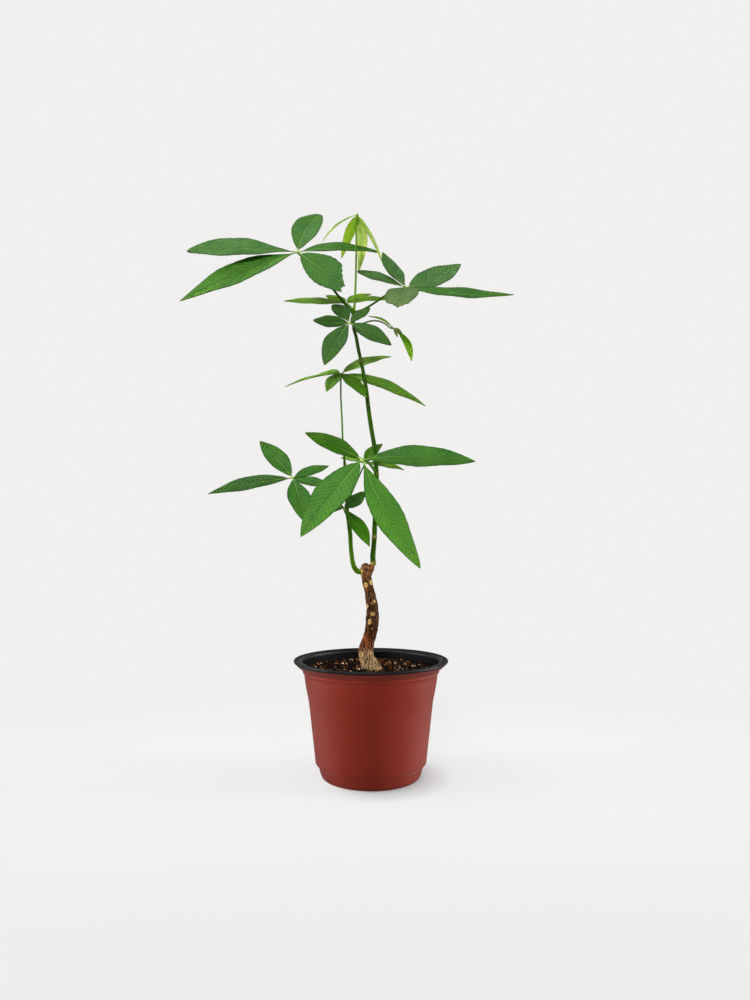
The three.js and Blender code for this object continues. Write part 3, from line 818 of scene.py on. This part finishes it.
def mix_height(x, y):
    """Height of the mix at x, y in millimetres: broad lumps that flatten towards the wall, and small ones."""
    out = min(math.hypot(x, y) / MIX_EDGE, 1.0)
    broad = noise.noise(Vector((x, y, 22)) * 0.09)
    small = noise.noise(Vector((x, y, 23)) * 0.3)
    lump = 0.8 * broad * (1 - out * out) + 0.5 * small
    return MIX_TOP + MIX_CROWN * (1 - out * out) + lump


def make_bed(finish):
    bed = turned("mix_bed", MIX_SIDES, MIX_FOOT, MIX_WALL)
    bpy.ops.object.mode_set(mode="EDIT")
    bpy.ops.mesh.select_mode(type="FACE")
    bpy.ops.mesh.select_all(action="DESELECT")
    shape = bmesh.from_edit_mesh(bed.data)
    for face in shape.faces:
        is_upper_disc = len(face.verts) > 4 and face.calc_center_median().z > 0.05
        face.select_set(is_upper_disc)
    bmesh.update_edit_mesh(bed.data)
    for _ in range(MIX_RINGS):
        bpy.ops.mesh.inset(thickness=MIX_RING_STEP * MM)
    bpy.ops.object.mode_set(mode="OBJECT")
    for vertex in bed.data.vertices:
        x, y, z = vertex.co / MM
        z += MIX_FLOOR
        if z > MIX_BRIM:
            z = mix_height(x, y) - BED_DEPTH
        vertex.co = Vector((x, y, z)) * MM
    smooth(bed, 60)
    dress(bed, finish)
    return bed


def chip_shapes():
    """The blanks that every chip is copied from."""
    shapes = []
    for i, size in enumerate(CHIP_SIZES):
        clear_selection()
        bpy.ops.mesh.primitive_ico_sphere_add(subdivisions=1, radius=MM)
        chip = named("chip_%d" % i)
        bpy.ops.object.mode_set(mode="EDIT")
        bpy.ops.mesh.select_all(action="SELECT")
        bpy.ops.transform.resize(value=size)
        bpy.ops.transform.vertex_random(offset=0.35 * MM, seed=i + 3)
        bpy.ops.object.mode_set(mode="OBJECT")
        shapes.append(chip)
    return shapes


def make_chips(finish):
    """Chips strewn over the bed, each with its own turn, size and tone, most of them dark."""
    shapes = chip_shapes()
    chips = []
    while len(chips) < CHIP_COUNT:
        out = MIX_EDGE * CHIPS_WITHIN * math.sqrt(random.random())
        turn = random.uniform(0, 2 * math.pi)
        x, y = out * math.cos(turn), out * math.sin(turn)
        if math.hypot(x - TRUNK_FOOT_X, y) < TRUNK_ROOM:
            continue
        chip = copy_of(random.choice(shapes), "chip")
        chip.location = Vector((x, y, mix_height(x, y) + random.uniform(-0.6, 0.5))) * MM
        chip.rotation_euler = (random.gauss(0, 0.4), random.gauss(0, 0.4), random.uniform(0, 6.28))
        chip.scale = [random.uniform(0.6, 1.15)] * 3
        tone = random.random() ** 2
        write_values(chip, "chip_tone", [tone] * len(chip.data.vertices))
        chips.append(chip)
    for chip in shapes:
        bpy.data.objects.remove(chip)
    loose = join("mix_chips", chips)
    settle(loose)
    dress(loose, finish)
    return loose


# Trunk and shoots


def scar_places():
    """Where each leaf scar sits on the bark, with the way the trunk runs there, its size and its heart."""
    line = smooth_line(TRUNK, 200)
    places = []
    for height, aside, face, half_wide, half_high, heart in SCARS:
        at, radius, ahead, _, _ = min(line, key=lambda row: abs(row[0].z - height))
        off = max(min(aside - at.x, radius * 0.97), -radius * 0.97)
        centre = Vector((at.x + off, at.y + face * math.sqrt(radius * radius - off * off), at.z))
        places.append((centre, ahead, half_wide, half_high, heart))
    return places


def scar_marks(at, scars):
    """How far a point lies in a scar or collar, in a scar's rim and in its heart, and how far it rises."""
    scar, rim, heart, rise = 0.0, 0.0, 0.0, 0.0
    for centre, ahead, half_wide, half_high, depth in scars:
        apart = at - centre
        if apart.length > SCAR_REACH:
            continue
        up = apart.dot(ahead)
        across = math.sqrt(max(apart.length_squared - up * up, 0))
        ragged = 0.16 * noise.noise(at * 0.9)
        d = math.hypot(across / half_wide, up / half_high) + ragged
        scar = max(scar, 1 - fade(d, 0.8, 1.05))
        rim = max(rim, 1 - fade(d, 1.2, 1.6))
        heart = max(heart, depth * (1 - fade(d, 0.25, 0.6)))
        rise += 0.32 * math.exp(-((d - 0.85) / 0.28) ** 2) - 0.12 * (1 - fade(d, 0.2, 0.7))
    for place, ahead in COLLARS:
        apart = at - Vector(place)
        if apart.length < COLLAR_REACH:
            collar = 1 - fade(abs(apart.dot(Vector(ahead))), 0.6, 1.2)
            scar = max(scar, collar)
            rise += 0.25 * collar
    return scar, rim, heart, rise


def make_trunk(finish):
    """The trunk, the stub of each shoot and the callus between them, grown into one skin of bark."""
    limbs = [
        tube("trunk_bark", TRUNK, 40, 90),
        tube("fork", FORK, 24, 16),
        tube("stub", SIDE_STUB, 24, 10),
    ]
    trunk = join("trunk_bark", limbs)
    modify(trunk, "REMESH", mode="VOXEL", voxel_size=0.5 * MM, use_smooth_shade=True)
    modify(trunk, "SMOOTH", factor=0.5, iterations=8)
    scars = scar_places()
    trunk.data.update()
    mask, rims, hearts, moved = [], [], [], []
    for vertex in trunk.data.vertices:
        at = vertex.co / MM
        scar, rim, heart, rise = scar_marks(at, scars)
        ridge = noise.noise(Vector((at.x * 0.42, at.y * 0.42, at.z * 0.16)))
        knots = noise.noise(at * 0.24 + Vector((5, 0, 0)))
        fine = noise.noise(Vector((at.x * 1.6, at.y * 1.6, at.z * 0.7)))
        rise += 0.45 * knots + 0.34 * ridge + 0.26 * fine * (1 - scar)
        mask.append(scar)
        rims.append(rim * 0.8)
        hearts.append(heart)
        moved.append(vertex.co + vertex.normal * rise * MM)
    for vertex, place in zip(trunk.data.vertices, moved):
        vertex.co = place
    write_values(trunk, "scar", mask)
    write_values(trunk, "scar_rim", rims)
    write_values(trunk, "scar_heart", hearts)
    smooth(trunk, 70)
    dress(trunk, finish)
    return trunk


def make_shoot(name, rows, joints, finish):
    """A green shoot that swells into a ring at each old leaf joint."""
    length = rows[-1][2] - rows[0][2]

    def swell(at, radius, along, angle):
        for height, strength in joints:
            radius += 0.28 * strength * math.exp(-((at.z - height) / 0.9) ** 2)
            radius -= 0.1 * strength * math.exp(-((at.z - height - 2.2) / 1.4) ** 2)
        return radius * (1 + 0.018 * math.sin(5 * angle + 9 * along) + 0.015 * math.sin(61 * along))

    shoot = tube(name, rows, 20, max(int(length / SHOOT_RING_PITCH), 40), swell)
    corky = []
    for vertex in shoot.data.vertices:
        height = vertex.co.z / MM
        mask = 0.0
        for level, strength in joints:
            mask = max(mask, strength * math.exp(-((height - level) / 0.8) ** 2))
        corky.append(min(mask, 0.9))
    write_values(shoot, "joint", corky)
    smooth(shoot, 70)
    dress(shoot, finish)
    return shoot


# Leaves


def tinted(piece, colour):
    write_values(piece, "tint", [linear(colour)] * len(piece.data.vertices), "FLOAT_COLOR")
    return piece


def blade_blank(name, columns, steps):
    """A flat strip of cells, columns wide and steps long, that every leaflet is shaped from."""
    clear_selection()
    bpy.ops.mesh.primitive_plane_add(size=1)
    blank = named(name)
    bpy.ops.object.mode_set(mode="EDIT")
    bpy.ops.mesh.select_mode(type="EDGE")
    cut_between(blank, lambda a, b: abs(a.y - b.y) > 0.9, steps - 1)
    cut_between(blank, lambda a, b: abs(a.x - b.x) > 0.9, columns - 1)
    bpy.ops.object.mode_set(mode="OBJECT")
    return blank


def outline(along, leaflet):
    """Share of the full width at this share of the length. A higher root or end draws that end out more."""
    arc = math.sin(math.pi * along ** (math.log(0.5) / math.log(leaflet.widest)))
    return max(arc, 0.0) ** (leaflet.root + (leaflet.end - leaflet.root) * along)


def torn_share(torn, column):
    """How much of the length is left at this column of a torn leaflet, with small ragged teeth."""
    if not torn:
        return 1.0
    row = (column + 1) * (len(torn) - 1) / 2
    low = min(int(row), len(torn) - 2)
    share = torn[low] + (torn[low + 1] - torn[low]) * (row - low)
    return share + 0.012 * math.sin(23 * column) + 0.008 * math.sin(51 * column + 1)


def leaflet_axes(leaflet):
    """Its length, the way ahead to the tip, the way to its right side and the way its face looks."""
    tip = Vector(leaflet.to)
    ahead = tip.normalized()
    level = ahead.cross(Vector((0, 0, 1))).normalized()
    rise = level.cross(ahead)
    roll = math.radians(leaflet.roll)
    side = level * math.cos(roll) + rise * math.sin(roll)
    return tip.length, ahead, side, side.cross(ahead)


def shape_leaflet(blank, leaflet, hub, turn):
    """Bends a blank into one leaflet: outline, fold along the midrib, puckers between side veins that stand
    half a step apart left and right, and a waved edge."""
    blade = copy_of(blank, "blade")
    length, ahead, side, upper = leaflet_axes(leaflet)
    veins = max(length / VEIN_PITCH, 5)
    phases, ribs, margins, shares = [], [], [], []
    for vertex in blade.data.vertices:
        column = vertex.co.x * 2
        along = (vertex.co.y + 0.5) * torn_share(leaflet.torn, column)
        out = abs(column)
        least = BLADE_ROOT + (BLADE_TIP - BLADE_ROOT) * along
        full = leaflet.wide / 2 * outline(along, leaflet) * fade(along, 0.0, 0.12)
        half = max(full, least) * (1 + leaflet.lean * column)
        hump = 4 * along * (1 - along)
        wave = WAVE * half * math.sin(along * 17 + turn + column)
        phase = veins * along - VEIN_SLANT * out * half / VEIN_PITCH - (0.5 if column > 0 else 0) * out
        pucker = PUCKER * math.cos(2 * math.pi * phase) * out * (1.15 - out) * min(half / 6, 1)
        notch = NOTCH * half * math.sin(along * 73 + turn * 3) * fade(out, 0.8, 1) * hump
        groove = -GROOVE_DEPTH * math.exp(-(column * half / GROOVE_WIDE) ** 2) * hump
        lift = leaflet.arch * hump + out * (FOLD * half + wave) + pucker + groove
        reach = column * (half + notch) + leaflet.sway * hump
        vertex.co = (Vector(hub) + ahead * (along * length) + side * reach + upper * lift) * MM
        phases.append(phase + 40)  # never below 0
        ribs.append(column * half)
        margins.append(fade(out * half, half - MARGIN, half) if half > 2 else 0.0)
        shares.append(along)
    write_values(blade, "vein_phase", phases)
    write_values(blade, "beside_rib", ribs)
    write_values(blade, "margin", margins)
    write_values(blade, "toward_tip", shares)
    return tinted(blade, leaflet.tint)


def make_hub(at, radius):
    """The small dished and lobed pad where the leaflets meet."""
    clear_selection()
    bpy.ops.mesh.primitive_uv_sphere_add(segments=14, ring_count=8, radius=1)
    hub = named("hub")
    for vertex in hub.data.vertices:
        x, y, z = vertex.co
        dish = 1 - 0.45 * max(z, 0) ** 3
        lobes = 1 + 0.12 * math.cos(5 * math.atan2(y, x))
        vertex.co = (Vector(at) + Vector((x * lobes, y * lobes, z * 0.75 * dish)) * radius) * MM
    return tinted(hub, HUB_GREEN)


def make_stalklet(leaflet, hub):
    """The short pale stalk that carries a leaflet. It sinks under the midrib and ends in a point."""
    length, ahead, _, upper = leaflet_axes(leaflet)
    reach = max(min(0.085 * length, 5.5), 2.5)
    bow = leaflet.arch * 4 / length
    thick = 0.42 + 0.012 * min(leaflet.wide, 20)
    rows = []
    for share in (0.0, 0.5, 1.0, 1.35):
        at = Vector(hub) + ahead * (reach * share) + upper * (bow * reach * share - 0.12)
        rows.append((*at, thick * (1 - 0.35 * share)))
    rows[-1] = (*rows[-1][:3], 0.12)
    return tinted(tube("stalklet", rows, 8, 8), STALKLET_GREEN)


def make_petiole(leaf):
    """The leaf's long stalk, thicker where it leaves the shoot and again under the hub."""
    root, end = leaf.girth
    last = len(leaf.petiole) - 1
    rows = [(*at, root + (end - root) * i / last) for i, at in enumerate(leaf.petiole)]

    def swell(at, radius, along, angle):
        foot = 0.55 * math.exp(-(along / 0.05) ** 2)
        neck = 0.3 * math.exp(-((1 - along) / 0.05) ** 2)
        return radius * (1 + foot + neck)

    return tinted(tube("petiole", rows, 12, 14 * last, swell), leaf.stalk)


def make_leaf(name, leaf, blanks, faces, stalk_finish):
    """One compound leaf: petiole, hub, a stalk for each leaflet, and the leaflets."""
    hub = leaf.petiole[-1]
    stalks = [make_petiole(leaf), make_hub(hub, leaf.girth[1] * HUB_SIZE)]
    blades = []
    for i, leaflet in enumerate(leaf.leaflets):
        blank = blanks[0] if Vector(leaflet.to).length > LONG_LEAFLET else blanks[1]
        blades.append(shape_leaflet(blank, leaflet, hub, i * 1.9))
        stalks.append(make_stalklet(leaflet, hub))
    for stalk in stalks:
        dress(stalk, stalk_finish)
    body = join("blades", blades)
    dress(body, *faces)
    modify(body, "SOLIDIFY", thickness=BLADE_THICK * MM, offset=0, material_offset=1, use_even_offset=False)
    whole = join(name + "_blades", [body, *stalks])
    smooth(whole, 60)
    return whole


# Studio


def place_camera(scene):
    camera = bpy.data.objects.new("camera", bpy.data.cameras.new("camera"))
    camera.location = EYE
    camera.rotation_euler = (math.radians(EYE_TILT), 0, 0)
    camera.data.lens = LENS
    camera.data.sensor_width = 36.0
    camera.data.clip_start = 0.01
    scene.collection.objects.link(camera)
    scene.camera = camera


def hang_lights(scene):
    for name, place, target, wide, high, watts, beam in SOFTBOXES:
        lamp = bpy.data.objects.new(name, bpy.data.lights.new(name, "AREA"))
        lamp.data.shape = "RECTANGLE"
        lamp.data.size = wide
        lamp.data.size_y = high
        lamp.data.energy = watts
        lamp.data.spread = math.radians(beam)
        lamp.location = place
        lamp.visible_camera = False
        lamp.rotation_euler = (Vector(target) - lamp.location).to_track_quat("-Z", "Y").to_euler()
        scene.collection.objects.link(lamp)


def paper_surround(scene):
    """White paper all around: bright to the camera, dim in what it lights and dark in reflections."""
    world = bpy.data.worlds.new("studio")
    world.use_nodes = True
    scene.world = world
    tree = Nodes(world.node_tree)
    paper = tree.nodes["Background"]
    paper.inputs["Color"].default_value = PAPER
    rays = tree.node("ShaderNodeLightPath").outputs
    strength = 0.0
    for kind, part in (("Is Camera Ray", STUDIO_WHITE), ("Is Diffuse Ray", 0.24), ("Is Glossy Ray", 0.03)):
        strength = tree.math("MULTIPLY_ADD", rays[kind], part, strength)
    tree.feed(paper.inputs["Strength"], strength)


def paper_floor():
    """The paper under the pot: its own glow hides its edge, and a painted shadow darkens it close to the
    pot's right side.
    """
    clear_selection()
    bpy.ops.mesh.primitive_grid_add(
        x_subdivisions=24, y_subdivisions=24, size=24, location=(0, 0, -PAPER_GAP * MM))
    floor = named("studio_floor")
    f = Finish("studio_paper", 0.9, 0.0)
    out = f.node("ShaderNodeVectorMath", operation="LENGTH")
    f.feed(out.inputs[0], f.place())
    far = f.span(out.outputs["Value"], 0.1, 0.6)
    f.feed(f.shader.inputs["Base Color"], f.blend(far, (0.2, 0.199, 0.197, 1), (0, 0, 0, 1)))
    f.shader.inputs["Emission Color"].default_value = PAPER
    rays = f.node("ShaderNodeLightPath").outputs
    shown = f.math("MULTIPLY_ADD", rays["Is Glossy Ray"], 0.1, rays["Is Camera Ray"])
    shown = f.math("MULTIPLY_ADD", rays["Is Diffuse Ray"], 0.4, shown)
    # Painted shadow: the glow is dimmed near the pot, on its right side only.
    nearby = f.node("ShaderNodeAmbientOcclusion", samples=8)
    nearby.inputs["Distance"].default_value = 0.026
    shade = f.math("SUBTRACT", 1.0, nearby.outputs["AO"])
    shade = f.times(shade, f.span(f.distance_along("X"), -0.04, 0.01, 0, 0.8))
    glow = f.span(out.outputs["Value"], 0.1, 0.6, 0.68, STUDIO_WHITE)
    glow = f.times(glow, f.math("SUBTRACT", 1.0, shade))
    f.feed(f.shader.inputs["Emission Strength"], f.times(glow, shown))
    dress(floor, f.material)


def make_studio():
    scene = bpy.context.scene
    scene.view_settings.view_transform = "Standard"
    place_camera(scene)
    hang_lights(scene)
    paper_surround(scene)
    paper_floor()


# The plant, put together


def hand_over(piece, slot, *nodes):
    """Puts a piece on the body and hides the solids that it stands in for. The slot is not used."""
    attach(piece, "root")
    if nodes:
        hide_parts(*nodes)


make_studio()

hand_over(make_pot(red_plastic(), black_plastic()), "pot_plastic", "pot")
hand_over(make_bed(compost()), "soil", "soil")
hand_over(make_chips(coir()), "soil")
hand_over(make_trunk(bark()), "bark", "trunk")
old_skin = green_skin("old_stem_skin", 0x1E3C03, 0x305804)
hand_over(make_shoot("shoot_main", SHOOT_MAIN, MAIN_RINGS, old_skin), "green_stem", "stem_main")
young_skin = green_skin("young_stem_skin", 0x2E5003, 0x447404)
hand_over(make_shoot("shoot_side", SHOOT_SIDE, SIDE_RINGS, young_skin), "green_stem", "stem_side")

FACES = {
    "leaf_green": [
        blade_skin("green_leaf_face", 0x8CB848, 0.6, 0.5),
        blade_skin("green_leaf_back", 0x9CBE60, 0.6, 0.62, 0x7FA35C),
    ],
    "leaf_young": [
        blade_skin("young_leaf_face", 0x5E9A18, 0.45, 0.42, 0x6A9A1C, 0.7),
        blade_skin("young_leaf_back", 0x8CB83A, 0.45, 0.55, 0xB8F858, 0.8),
    ],
    "leaf_dark": [
        blade_skin("dark_leaf_face", 0x7CA848, 0.6, 0.5),
        blade_skin("dark_leaf_back", 0x9DBF7A, 0.6, 0.6, 0x7FA35C),
    ],
}
stalk_finish = stalk_skin()
blanks = [blade_blank("long_blank", 16, 44), blade_blank("short_blank", 12, 28)]
for name, leaf in LEAVES.items():
    hand_over(make_leaf(name, leaf, blanks, FACES[leaf.slot], stalk_finish), leaf.slot, name)
for blank in blanks:
    bpy.data.objects.remove(blank)
clear_selection()
